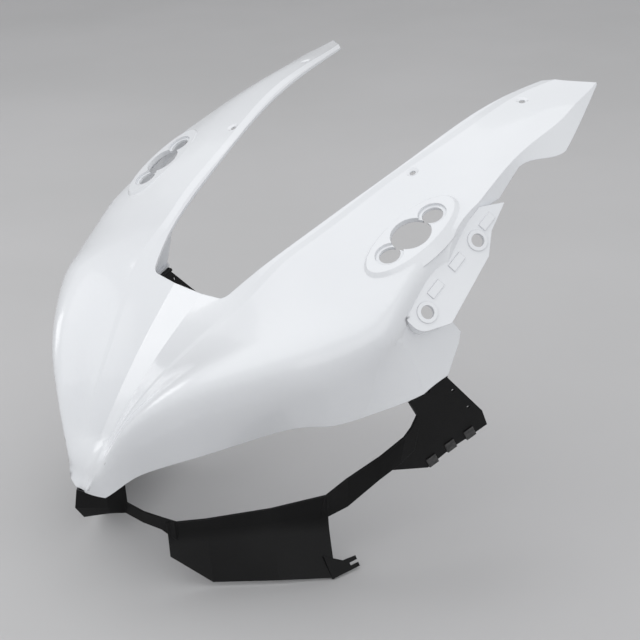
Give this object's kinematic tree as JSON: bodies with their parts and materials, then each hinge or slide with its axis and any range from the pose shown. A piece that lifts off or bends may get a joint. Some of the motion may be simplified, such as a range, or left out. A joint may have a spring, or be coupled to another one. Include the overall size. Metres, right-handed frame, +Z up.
{
  "type": "motorcycle fairing",
  "caption": "Upper nose fairing of a sport motorcycle: a pointed white cowl with swept arms round the screen opening, mirror pads, side flanges and a black trim under the headlights.",
  "frame": {"origin": "middle of the fairing's bounding box in plan, at the level of the lowest edge of the trim's trays", "axes": "+Z up, nose towards -Y, tail of the arms towards +Y, +X to the rider's left, the near side in the picture; the YZ plane is the plane of symmetry"},
  "size_m": [0.4974, 0.5426, 0.4204],
  "materials": {
    "cowl_white": "smooth unpainted white gloss",
    "trim_black": "fine grained satin black",
    "clip_steel": "plain zinc"
  },
  "bodies": {
    "root": {"nose_cowl": "cowl_white", "headlight_trim": "trim_black", "clip_nuts": "clip_steel"}
  },
  "joints": []
}
